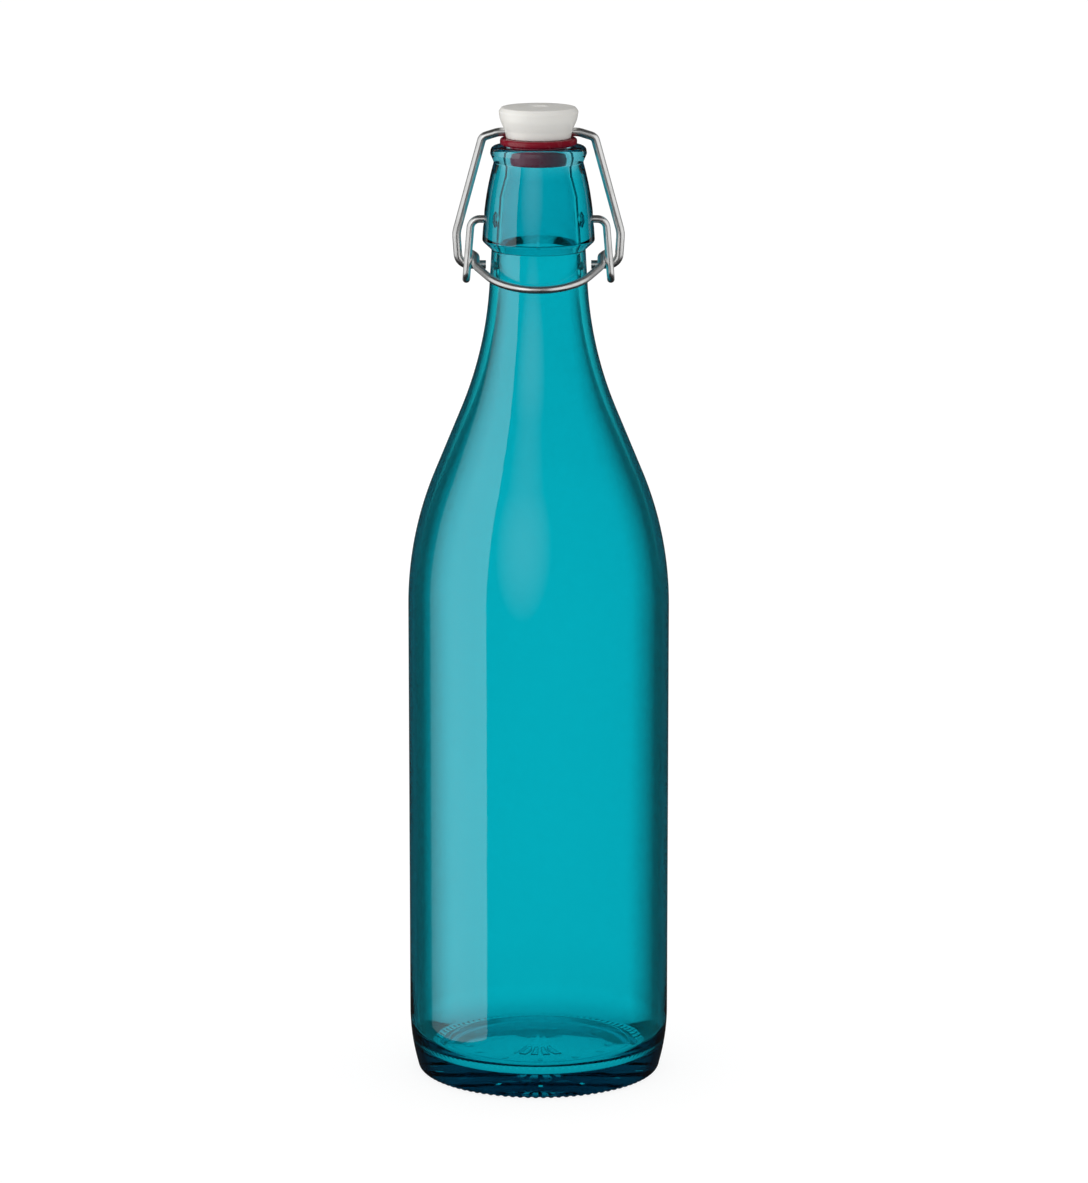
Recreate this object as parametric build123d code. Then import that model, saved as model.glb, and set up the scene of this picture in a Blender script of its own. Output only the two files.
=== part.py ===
from build123d import *
import os
from math import atan, cos, degrees, radians, sin, sqrt, tan

# A one litre swing top bottle, in millimetres. The bottle stands on the origin with its axis on +Z.
# -Y is the front, where the lever's loop is pushed down, and the lever's pivot axis runs along X.

# ---- glass bottle: body ----
body_diameter = 85.0        # outside of the straight wall
body_wall = 2.3
heel_height = 11.7          # corner where the wall turns in towards the foot
heel_angle = 14.3           # lean of the heel below that corner, from the vertical
heel_round = 66.0
foot_round = 1.8
punt_round = 1.5            # between the foot's ring and the hollow under the bottle
punt_radius = 35.0          # inner edge of the ring that the bottle stands on
punt_depth = 4.8
floor_thickness = 4.8       # glass between the punt and the inside, at the centre
floor_edge_height = 6.0     # the inner floor's surface carried out to the inner wall
floor_round = 9.0

# ---- glass bottle: shoulder and neck ----
shoulder_height = 179.0     # corner where the wall turns into the shoulder cone
shoulder_round = 114.0
neck_bend_height = 61.3     # from that corner up to the corner between cone and neck
neck_bend_round = 125.0
neck_bend_wall = 3.0
neck_height = 92.0          # from the shoulder corner up to the root of the collar
neck_radius = 15.15         # outside of the neck at the root of the collar
neck_taper = 3.6            # lean of the neck, from the vertical
neck_wall = 3.65

# ---- glass bottle: collar and mouth ----
collar_rise = 2.0           # plain neck above the root, below the collar's shelf
collar_step = 3.0           # how far the shelf stands out from the neck
collar_shelf = 2.8          # height of the sloping shelf
collar_side = 14.8          # from the shelf's edge up to the crown of the collar's side
collar_lean = 1.0           # how much the side comes in on that height
collar_top = 10.6           # from the crown up to the groove under the lip
groove_inset = 0.75         # the groove's radius is this much less than the neck's
lip_bead = 1.15             # how far the lip's bead stands out from the groove
lip_rise = 2.8
lip_crown = 2.3
lip_lean = 0.7              # share of the bead that is left where the lip's top begins
root_round = 0.9
shelf_round = 1.2
crown_round = 95.0
groove_round = 0.8
bead_round = 0.9
lip_round = 1.5
mouth_round = 1.0
throat_round = 4.0          # at both ends of the flare inside the mouth
mouth_radius = 10.0
mouth_depth = 10.3          # straight part of the mouth bore
mouth_flare = 6.0           # height over which the bore opens to the neck

# ---- wire lever ----
lever_wire = 2.5            # wire diameter
pivot_rise = 11.7           # pivot axis above the root of the collar
pivot_depth = 3.0           # how deep the blind pivot holes go
pivot_clearance = 0.15      # radial
pivot_countersink = 1.2     # how far the mouth of the hole opens
pivot_end_gap = 0.3
arm_gap = 4.0               # from the collar's side to the centre of the lever arm
arm_lean = 1.65             # how much further out the arm is at its bottom
back_leg_lean = 0.6         # how much the leg behind the eye comes back in
pivot_bend = 3.0
hook_drop = 4.7             # from the bail's axis down to the bottom of the eye
hook_slack = 0.05           # straight wire left between the two bends of the U-turn
eye_clearance = 0.3         # between the eye and the bail wire in it
crossing_gap = 0.65         # between the arm and the wire where it crosses over the eye
crossing_fall = 0.85        # how much lower the crossing is at the front than at the back
crossing_run = 1.7          # how far in front of the bail's axis the crossing turns down
leg_top_bend = 2.2
crossing_bend = 2.4
loop_side_bend = 4.0        # where the side of the loop turns in towards the front
loop_gap = 1.45             # from the neck to the loop's wire
loop_tilt = 18.0            # the loop's plane falls towards the front by this angle
loop_drop = 20.3            # from the pivot axis down to the front of the loop
loop_half_turn = 62.0       # the front arc spans this angle on each side of the middle

# ---- wire bail ----
bail_wire_size = 2.8        # wire diameter
bail_reach = 15.2           # from the pivot axis down to the bail's axis in the lever's eye
bar_rise = 4.5              # the bail's cross bar above the lip
bar_past_head = 2.5         # straight part of the cross bar on each side of the stopper
bar_to_corner = 5.1         # from there out to the corner above the arm
bar_droop = 1.6
knee_gap = 2.15             # between lever arm and bail arm, at the knee
knee_rise = 10.5            # from the eye up to the knee of the bail's arm
knee_bend = 8.0
eye_bend = 3.6
corner_bend = 2.2           # above the arm
droop_bend = 6.0            # where the cross bar begins to droop
bail_side = 2.45            # from the lever arm out to the bail arm, wire centres, beside the eye
stub_gap = 1.6              # between the bail's ends and the neck

# ---- stopper and gasket ----
gasket_gap = 0.35           # between the lip and the gasket's flange
flange_overhang = 3.1       # how far the flange stands out past the plug
flange_thickness = 2.3
plug_clearance = 0.7        # radial, between the plug and the mouth bore
plug_depth = 7.0            # from the underside of the flange to the bottom of the plug
plug_taper = 0.5
plug_round = 4.2
flange_round = 0.9
plug_root_round = 0.5
stem_radius = 4.6
stem_bead = 0.9             # the bead that keeps the gasket on the stem
stem_length = 5.6
stem_bead_height = 1.8
stem_bead_slope = 0.6
head_inset = 2.0            # the flange stands out this far past the head
head_flare = 2.43           # how much wider the head's top ring is than its bottom
head_height = 8.6           # from the gasket to the widest ring
head_crown = 1.5            # from the widest ring to the top
head_dome = 0.25            # how much the top rises from its rim to its centre
head_rim = 0.9              # how far the rim of the top is inside the widest ring
head_foot = 2.6             # height of the narrow foot of the head
head_foot_flare = 0.5
head_cheek = 2.8            # from the widest ring down to where the head's side turns steeper
head_cheek_inset = 0.45
foot_edge_round = 0.4
foot_side_round = 2.5
cheek_round = 5.0
ring_round = 0.8
rim_round = 0.5
bore_clearance = 0.1        # radial, around the cross bar

# ---- worked out from the above ----
body_radius = body_diameter / 2
inner_radius = body_radius - body_wall
floor_height = punt_depth + floor_thickness
collar_base = shoulder_height + neck_height
shelf_edge = collar_base + collar_rise + collar_shelf
crown_height = shelf_edge + collar_side
groove_height = crown_height + collar_top
lip_top = groove_height + lip_rise + lip_crown
neck_lean = tan(radians(neck_taper))
bend_height = shoulder_height + neck_bend_height
bend_radius = neck_radius + (collar_base - bend_height) * neck_lean
cone_angle = degrees(atan((body_radius - bend_radius) / neck_bend_height))
shelf_radius = neck_radius + collar_step
groove_radius = neck_radius - groove_inset
crown_radius = shelf_radius - collar_lean

lever_radius = lever_wire / 2
bail_radius = bail_wire_size / 2
pivot_height = collar_base + pivot_rise
pivot_side = shelf_radius - collar_lean * (pivot_height - shelf_edge) / collar_side
bail_height = pivot_height - bail_reach
arm_top = pivot_side + arm_gap
arm_bottom = arm_top + arm_lean
eye_width = lever_wire + bail_wire_size + 2 * eye_clearance
over_centre = eye_width / 2     # how far behind the pivot axis the bail's axis lies when closed
crossing_side = arm_bottom - lever_wire - crossing_gap
bar_height = lip_top + bar_rise

flange_bottom = lip_top + gasket_gap
flange_top = flange_bottom + flange_thickness
plug_radius = mouth_radius - plug_clearance
flange_radius = plug_radius + flange_overhang
head_bottom_radius = flange_radius - head_inset
head_top_radius = head_bottom_radius + head_flare


def offset_corner(corner, below, above, wall):
    """The inner corner of a wall whose outside leans by two angles, below and above a corner."""
    middle, half = radians((below + above) / 2), radians((above - below) / 2)
    reach = wall / cos(half)
    return (corner[0] - reach * cos(middle), corner[1] - reach * sin(middle))


def cap_arc(edge, top):
    """An arc from a point at some radius to a top point on the axis, level where it meets the axis."""
    rise = top - edge[1]
    radius = (edge[0] ** 2 + rise ** 2) / (2 * rise)
    centre = top - radius
    middle = edge[0] / 2
    return ThreePointArc(edge, (middle, centre + sqrt(radius ** 2 - middle ** 2)), (0, top))


def rounded(face, corners):
    """Round the named corners of a flat outline, each with its own radius."""
    for place, radius in corners:
        corner = face.vertices().sort_by_distance((place[0], place[1], 0))[0]
        face = fillet(corner, radius)
    return face


def turned(face):
    """Revolve an outline drawn as radius and height about the Z axis."""
    return revolve(Plane.XZ * face, Axis.Z)


def bent_wire(points, radii, diameter):
    """A round wire along straight runs with a bend at each corner."""
    path = FilletPolyline(*points, radius=radii)
    return sweep(Plane(path @ 0, z_dir=path % 0) * Circle(diameter / 2), path)


def mirrored(points):
    """The same points on the other side of the YZ plane, in reverse order."""
    return [(-x, y, z) for x, y, z in reversed(points)]


def outer_outline():
    foot = (body_radius - heel_height * tan(radians(heel_angle)), 0)
    heel = (body_radius, heel_height)
    shoulder = (body_radius, shoulder_height)
    bend = (bend_radius, bend_height)
    root = (neck_radius, collar_base + collar_rise)
    shelf = (shelf_radius, shelf_edge)
    crown = (crown_radius, crown_height)
    groove = (groove_radius, groove_height)
    bead = (groove_radius + lip_bead, groove_height + lip_rise)
    lip = (groove_radius + lip_bead * lip_lean, lip_top)
    punt = (punt_radius, 0)
    axis_points = [(0, lip_top), (0, punt_depth)]
    edges = cap_arc(punt, punt_depth) + Polyline(
        punt, foot, heel, shoulder, bend, root, shelf, crown, groove, bead, lip, *axis_points)
    corners = [(foot, foot_round), (heel, heel_round), (shoulder, shoulder_round), (bend, neck_bend_round),
               (root, root_round), (shelf, shelf_round), (crown, crown_round), (groove, groove_round),
               (bead, bead_round), (lip, lip_round), (punt, punt_round)]
    return rounded(make_face(edges), corners)


def inner_outline():
    floor_edge = (inner_radius, floor_edge_height)
    shoulder = offset_corner((body_radius, shoulder_height), 0, cone_angle, body_wall)
    bend = offset_corner((bend_radius, bend_height), cone_angle, neck_taper, neck_bend_wall)
    throat = (neck_radius - neck_wall, lip_top - mouth_depth - mouth_flare)
    bore = (mouth_radius, lip_top - mouth_depth)
    top = (mouth_radius, lip_top)
    edges = cap_arc(floor_edge, floor_height) + Polyline(
        floor_edge, shoulder, bend, throat, bore, top, (0, lip_top), (0, floor_height))
    corners = [(floor_edge, floor_round), (shoulder, shoulder_round - body_wall),
               (bend, neck_bend_round), (throat, throat_round), (bore, throat_round)]
    return rounded(make_face(edges), corners)


def pivot_hole(side):
    """A blind hole for one end of the lever, with an open cone at its mouth."""
    radius = lever_radius + pivot_clearance
    length = pivot_depth + arm_gap
    hole = Pos(side * (pivot_side - pivot_depth + length / 2), 0, pivot_height) * (
        Rot(0, 90, 0) * Cylinder(radius, length))
    cone = Pos(side * (pivot_side - pivot_countersink / 2), 0, pivot_height) * (
        Rot(0, side * 90, 0) * Cone(radius, radius + pivot_countersink, pivot_countersink))
    return hole + cone


def glass_bottle():
    bottle = turned(outer_outline()) - turned(inner_outline())
    rim = bottle.edges().filter_by(GeomType.CIRCLE).sort_by_distance((mouth_radius, 0, lip_top))[0]
    bottle = fillet(rim, mouth_round)
    return bottle - pivot_hole(1) - pivot_hole(-1)


def neck_at(height):
    """Outer radius of the plain neck at a height."""
    return neck_radius + (collar_base - height) * neck_lean


def lever():
    """One wire: pivot, arm, U-turn, back leg, over the bail's end, and round the front of the neck."""
    tilt, turn = radians(loop_tilt), radians(loop_half_turn)
    front_height = pivot_height - loop_drop
    loop_radius = neck_at(front_height) + loop_gap + lever_radius
    hook_bottom = bail_height - hook_drop
    crossing_height = bail_height + lever_radius + bail_radius + eye_clearance

    def on_loop(side, behind):
        """A point in the loop's plane, given how far it is behind the front of the loop."""
        return (side, behind * cos(tilt) - loop_radius, front_height + behind * sin(tilt))

    before_front = loop_radius / cos(turn) - loop_radius
    half = [
        (pivot_side - pivot_depth + pivot_end_gap, 0, pivot_height),
        (arm_top, 0, pivot_height),
        (arm_bottom, 0, hook_bottom),
        (arm_bottom, eye_width, hook_bottom),
        (arm_bottom - back_leg_lean, eye_width, crossing_height + crossing_fall),
        (crossing_side, over_centre - crossing_run, crossing_height),
        on_loop(crossing_side, crossing_side * tan(turn) - before_front),
    ]
    hook_bend = eye_width / 2 - hook_slack
    radii = [pivot_bend, hook_bend, hook_bend, leg_top_bend, crossing_bend, loop_side_bend]
    front = on_loop(0, -before_front)
    return bent_wire(half + [front] + mirrored(half), radii + [loop_radius] + radii[::-1], lever_wire)


def bail():
    """One wire: a cross bar through the stopper, two arms, and an inward end in each eye."""
    lean = over_centre / (bar_height - bail_height)
    bar_half = head_bottom_radius + bar_past_head
    flat = [
        (neck_at(bail_height) + stub_gap, bail_height),
        (arm_bottom + bail_side, bail_height),
        (arm_top + lever_radius + knee_gap + bail_radius, bail_height + knee_rise),
        (bar_half + bar_to_corner, bar_height - bar_droop),
        (bar_half, bar_height),
    ]
    half = [(x, (bar_height - z) * lean, z) for x, z in flat]
    radii = [eye_bend, knee_bend, corner_bend, droop_bend]
    return bent_wire(half + mirrored(half), radii + radii[::-1], bail_wire_size)


def stem_outline():
    """The stem under the head, with the bead that holds the gasket, as points from the axis out."""
    bottom = flange_top - stem_length
    bead_radius = stem_radius + stem_bead
    bead_top = bottom + stem_bead_height
    return [(0, flange_top), (0, bottom), (bead_radius, bottom), (bead_radius, bead_top),
            (stem_radius, bead_top + stem_bead_slope), (stem_radius, flange_top)]


def stopper_head():
    wide = flange_top + head_height
    top = wide + head_crown
    edge = (head_bottom_radius, flange_top)
    side = (head_bottom_radius + head_foot_flare, flange_top + head_foot)
    cheek = (head_top_radius - head_cheek_inset, wide - head_cheek)
    ring = (head_top_radius, wide)
    rim = (head_top_radius - head_rim, top - head_dome)
    edges = Polyline((0, flange_top), edge, side, cheek, ring, rim) + cap_arc(rim, top)
    edges += Line((0, top), (0, flange_top))
    corners = [(edge, foot_edge_round), (side, foot_side_round), (cheek, cheek_round), (ring, ring_round),
               (rim, rim_round)]
    head = turned(rounded(make_face(edges), corners))
    stem = turned(make_face(Polyline(*stem_outline(), close=True)))
    bore = Rot(0, 90, 0) * Cylinder(bail_radius + bore_clearance, 4 * head_top_radius)
    return head + stem - Pos(0, 0, bar_height) * bore


def gasket():
    bottom = flange_bottom - plug_depth
    flange = (flange_radius, flange_bottom)
    flange_upper = (flange_radius, flange_top)
    neck = (plug_radius, flange_bottom)
    plug = (plug_radius - plug_taper, bottom)
    edges = Polyline((0, bottom), plug, neck, flange, flange_upper, (0, flange_top), (0, bottom))
    corners = [(flange, flange_round), (flange_upper, flange_round), (neck, plug_root_round),
               (plug, plug_round)]
    socket = turned(make_face(Polyline(*stem_outline(), close=True)))
    return turned(rounded(make_face(edges), corners)) - socket


if __name__ == "__main__":
    os.makedirs("parts", exist_ok=True)
    pieces = {
        "glass_bottle": glass_bottle(),
        "lever_wire": lever(),
        "bail_wire": bail(),
        "stopper_head": stopper_head(),
        "gasket": gasket(),
    }
    for name, piece in pieces.items():
        export_step(piece, f"parts/{name}.step")
    filled = turned(inner_outline()).volume / 1000
    print(f"brimful volume {filled:.0f} ml, height {bar_height:.1f} mm to the cross bar")
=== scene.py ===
import math

import bmesh
import bpy
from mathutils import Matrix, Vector


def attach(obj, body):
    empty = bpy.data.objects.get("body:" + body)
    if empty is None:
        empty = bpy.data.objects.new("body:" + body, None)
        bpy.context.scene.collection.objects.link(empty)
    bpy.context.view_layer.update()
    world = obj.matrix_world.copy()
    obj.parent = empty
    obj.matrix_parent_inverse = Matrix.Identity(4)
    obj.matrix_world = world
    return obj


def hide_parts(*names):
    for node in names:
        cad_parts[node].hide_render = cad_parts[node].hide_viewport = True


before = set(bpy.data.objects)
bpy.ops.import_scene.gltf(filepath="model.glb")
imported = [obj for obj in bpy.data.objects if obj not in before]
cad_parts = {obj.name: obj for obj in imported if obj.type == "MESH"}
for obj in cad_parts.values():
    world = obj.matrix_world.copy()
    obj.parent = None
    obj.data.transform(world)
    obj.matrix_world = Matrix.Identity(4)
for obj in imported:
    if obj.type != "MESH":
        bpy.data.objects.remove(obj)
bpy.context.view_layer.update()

mm = 0.001
mergeDistance = 0.002 * mm
# how finely bends and straight runs are divided, in degrees and millimetres
routes = {"mostSteps": 28, "leastSteps": 2, "stepAngle": 12, "stepLength": 1.6, "longestRun": 20}
bpy.ops.object.select_all(action="DESELECT")


def startRoute(name, place):
    # a small circle, merged to one point, is the pencil that draws the route
    bpy.ops.object.select_all(action="DESELECT")
    bpy.ops.mesh.primitive_circle_add(vertices=8, radius=mm, location=(0, 0, 0))
    piece = bpy.context.object
    piece.name = name
    bpy.ops.object.mode_set(mode="EDIT")
    bpy.ops.mesh.select_mode(type="VERT")
    bpy.ops.mesh.select_all(action="SELECT")
    bpy.ops.mesh.merge(type="CENTER")
    bpy.ops.transform.translate(value=place * mm)
    return piece


def runTo(start, end, longestStep):
    steps = max(1, math.ceil((end - start).length / longestStep))
    for _ in range(steps):
        move = (end - start) / steps * mm
        bpy.ops.mesh.extrude_region_move(TRANSFORM_OT_translate={"value": move})


def bendAround(centre, axis, angle, steps):
    # spin turns against the right hand rule, so the axis is given the other way round
    bpy.ops.mesh.spin(steps=steps, angle=angle, center=centre * mm, axis=-axis)


def bendSteps(angle, radius):
    byAngle = math.ceil(math.degrees(angle) / routes["stepAngle"])
    byLength = math.ceil(angle * radius / routes["stepLength"])
    return min(routes["mostSteps"], max(byAngle, byLength, routes["leastSteps"]))


def drawRoute(start, corners, longestStep=routes["longestRun"]):
    # corners are (place, bend radius) in millimetres, and the last one is the end of the route
    here = start
    for number, (corner, radius) in enumerate(corners[:-1]):
        inward = (corner - here).normalized()
        outward = (corners[number + 1][0] - corner).normalized()
        turn = inward.angle(outward)
        reach = radius * math.tan(turn / 2)
        runTo(here, corner - inward * reach, longestStep)
        axis = inward.cross(outward).normalized()
        centre = corner - inward * reach + axis.cross(inward) * radius
        bendAround(centre, axis, turn, bendSteps(turn, radius))
        here = corner + outward * reach
    runTo(here, corners[-1][0], longestStep)
    return corners[-1][0]


def flat(radius, height):
    return Vector((radius, 0, height))


def spinProfile(steps):
    # the drawn outline is turned into a closed body about the bottle's axis
    bpy.ops.mesh.select_all(action="SELECT")
    bpy.ops.mesh.spin(steps=steps, angle=2 * math.pi, center=(0, 0, 0), axis=(0, 0, 1))
    bpy.ops.mesh.select_all(action="SELECT")
    bpy.ops.mesh.remove_doubles(threshold=mergeDistance)
    bpy.ops.mesh.normals_make_consistent(inside=False)
    bpy.ops.mesh.select_all(action="DESELECT")


def pickFaces(piece, test):
    # faces are chosen by the place of their middle and by their normal
    bpy.ops.mesh.select_all(action="DESELECT")
    bpy.ops.mesh.select_mode(type="FACE")
    mesh = bmesh.from_edit_mesh(piece.data)
    for face in mesh.faces:
        face.select_set(test(face.calc_center_median() / mm, face.normal))
    mesh.select_flush_mode()
    bmesh.update_edit_mesh(piece.data)


def pickPoints(piece, test):
    bpy.ops.mesh.select_all(action="DESELECT")
    bpy.ops.mesh.select_mode(type="VERT")
    mesh = bmesh.from_edit_mesh(piece.data)
    for point in mesh.verts:
        point.select_set(test(point.co / mm))
    mesh.select_flush_mode()
    bmesh.update_edit_mesh(piece.data)


def cutWith(piece, cutter):
    bpy.ops.object.select_all(action="DESELECT")
    bpy.context.view_layer.objects.active = piece
    cut = piece.modifiers.new("cut", "BOOLEAN")
    cut.operation = "DIFFERENCE"
    cut.solver = "EXACT"
    cut.object = cutter
    bpy.ops.object.modifier_apply(modifier=cut.name)
    bpy.data.objects.remove(cutter)


def finishPiece(piece, body, node, material, smoothAngle=35):
    if bpy.context.mode != "OBJECT":
        bpy.ops.object.mode_set(mode="OBJECT")
    bpy.ops.object.select_all(action="DESELECT")
    piece.select_set(True)
    bpy.context.view_layer.objects.active = piece
    bpy.ops.object.shade_smooth_by_angle(angle=math.radians(smoothAngle))
    piece.data.materials.clear()
    piece.data.materials.append(material)
    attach(piece, body)
    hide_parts(node)
    print("made", piece.name, len(piece.data.polygons), "faces")


def newMaterial(name):
    material = bpy.data.materials.new(name)
    material.use_nodes = True
    tree = material.node_tree
    tree.nodes.clear()
    output = tree.nodes.new("ShaderNodeOutputMaterial")
    shader = tree.nodes.new("ShaderNodeBsdfPrincipled")
    tree.links.new(shader.outputs["BSDF"], output.inputs["Surface"])
    return material, tree, shader, output


def newGroup(name, inputs, outputs):
    group = bpy.data.node_groups.new(name, "ShaderNodeTree")
    for socketName, kind, value in inputs:
        socket = group.interface.new_socket(socketName, in_out="INPUT", socket_type=kind)
        if value is not None:
            socket.default_value = value
    for socketName, kind in outputs:
        group.interface.new_socket(socketName, in_out="OUTPUT", socket_type=kind)
    return group, group.nodes.new("NodeGroupInput"), group.nodes.new("NodeGroupOutput")


def addNode(tree, kind, links=None, **settings):
    # links holds input name or number to an output socket or a plain value
    node = tree.nodes.new(kind)
    for name, value in settings.items():
        setattr(node, name, value)
    for name, value in (links or {}).items():
        if isinstance(value, bpy.types.NodeSocket):
            tree.links.new(value, node.inputs[name])
        else:
            node.inputs[name].default_value = value
    return node


def mathNode(tree, operation, first, second=0.0):
    return addNode(tree, "ShaderNodeMath", {0: first, 1: second}, operation=operation).outputs[0]


def rangeNode(tree, value, low, high, toLow, toHigh):
    node = addNode(tree, "ShaderNodeMapRange", {
        "Value": value, "From Min": low, "From Max": high, "To Min": toLow, "To Max": toHigh})
    return node.outputs["Result"]


def mixColours(tree, factor, first, second):
    node = addNode(tree, "ShaderNodeMix", data_type="RGBA")
    for socket, value in ((node.inputs[0], factor), (node.inputs[6], first), (node.inputs[7], second)):
        if isinstance(value, bpy.types.NodeSocket):
            tree.links.new(value, socket)
        else:
            socket.default_value = value
    return node.outputs[2]


def useGroup(tree, group, values):
    node = tree.nodes.new("ShaderNodeGroup")
    node.node_tree = group
    for name, value in values.items():
        if isinstance(value, bpy.types.NodeSocket):
            tree.links.new(value, node.inputs[name])
        else:
            node.inputs[name].default_value = value
    return node


def makeHandling():
    # faint finger marks and dried spots that change the gloss a little
    group, inside, outside = newGroup("handling", [
        ("Vector", "NodeSocketVector", None), ("Scale", "NodeSocketFloat", 40.0),
        ("Clean", "NodeSocketFloat", 0.02), ("Handled", "NodeSocketFloat", 0.1)],
        [("Roughness", "NodeSocketFloat"), ("Mask", "NodeSocketFloat")])
    cloud = addNode(group, "ShaderNodeTexNoise", {
        "Vector": inside.outputs["Vector"], "Scale": inside.outputs["Scale"], "Detail": 5.0,
        "Roughness": 0.62, "Distortion": 0.6})
    mask = rangeNode(group, cloud.outputs["Fac"], 0.48, 0.72, 0.0, 1.0)
    spread = mathNode(group, "SUBTRACT", inside.outputs["Handled"], inside.outputs["Clean"])
    rough = mathNode(group, "ADD", mathNode(group, "MULTIPLY", mask, spread), inside.outputs["Clean"])
    group.links.new(rough, outside.inputs["Roughness"])
    group.links.new(mask, outside.inputs["Mask"])
    return group


def makeFineWear():
    # hairline scratches as thin lines of a warped cell pattern
    group, inside, outside = newGroup("fineWear", [
        ("Vector", "NodeSocketVector", None), ("Scale", "NodeSocketFloat", 400.0),
        ("Width", "NodeSocketFloat", 0.02)],
        [("Mask", "NodeSocketFloat"), ("Height", "NodeSocketFloat")])
    bend = addNode(group, "ShaderNodeTexNoise", {
        "Vector": inside.outputs["Vector"], "Scale": 60.0, "Detail": 2.0})
    pushed = addNode(group, "ShaderNodeVectorMath", {
        0: bend.outputs["Color"], 1: (0.012, 0.012, 0.012)}, operation="MULTIPLY")
    place = addNode(group, "ShaderNodeVectorMath", {
        0: inside.outputs["Vector"], 1: pushed.outputs[0]}, operation="ADD")
    cells = addNode(group, "ShaderNodeTexVoronoi", {
        "Vector": place.outputs[0], "Scale": inside.outputs["Scale"]}, feature="DISTANCE_TO_EDGE")
    line = mathNode(group, "LESS_THAN", cells.outputs["Distance"], inside.outputs["Width"])
    patch = addNode(group, "ShaderNodeTexNoise", {
        "Vector": inside.outputs["Vector"], "Scale": 130.0, "Detail": 3.0})
    shown = mathNode(group, "MULTIPLY", line, rangeNode(group, patch.outputs["Fac"], 0.52, 0.62, 0.0, 1.0))
    group.links.new(shown, outside.inputs["Mask"])
    group.links.new(mathNode(group, "MULTIPLY", shown, -1.0), outside.inputs["Height"])
    return group


def makeFlowWaves():
    # the slow ripple that a mould leaves in glass, rubber and plastic
    group, inside, outside = newGroup("flowWaves", [
        ("Vector", "NodeSocketVector", None), ("Slow", "NodeSocketFloat", 30.0),
        ("Fast", "NodeSocketFloat", 220.0), ("Share", "NodeSocketFloat", 0.2)],
        [("Height", "NodeSocketFloat")])
    slow = addNode(group, "ShaderNodeTexNoise", {
        "Vector": inside.outputs["Vector"], "Scale": inside.outputs["Slow"], "Detail": 1.0})
    fast = addNode(group, "ShaderNodeTexNoise", {
        "Vector": inside.outputs["Vector"], "Scale": inside.outputs["Fast"], "Detail": 2.0})
    height = mathNode(group, "ADD", slow.outputs["Fac"],
                      mathNode(group, "MULTIPLY", fast.outputs["Fac"], inside.outputs["Share"]))
    group.links.new(height, outside.inputs["Height"])
    return group


handling = makeHandling()
fineWear = makeFineWear()
flowWaves = makeFlowWaves()


glassLook = {
    "face": (0.03, 0.715, 0.775, 1),    # tint at each surface seen face on
    "faceDeep": (0.02, 0.685, 0.745, 1),
    "mouth": (0.82, 0.86, 0.90, 1),     # a lighter tint round the mouth, where the plug shows
    "mouthFrom": 0.2965, "mouthTo": 0.3015,     # heights in metres between which it comes in
    "edge": (0.001, 0.022, 0.032, 1),   # painted shade: a dark tint where an upright surface turns away, in place of the dark edges the glass would get from its surroundings
    "edgeFrom": 0.32, "edgeTo": 0.68,
    "wallTo": 0.5, "levelFrom": 0.8,    # how far a surface may lean before it loses that painted shade
    "mouthEdgeShade": 0.35,                  # share of the painted edge shade that is left at the mouth
    "boreEdgeShade": 0.25, "boreFrom": 0.0125, "boreTo": 0.0135,     # and inside these radii
    "absorbColour": (0.0, 0.72, 0.775, 1),
    "absorbDensity": 155.0,
    "ior": 1.5,
    "ripple": 0.05,
}


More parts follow.
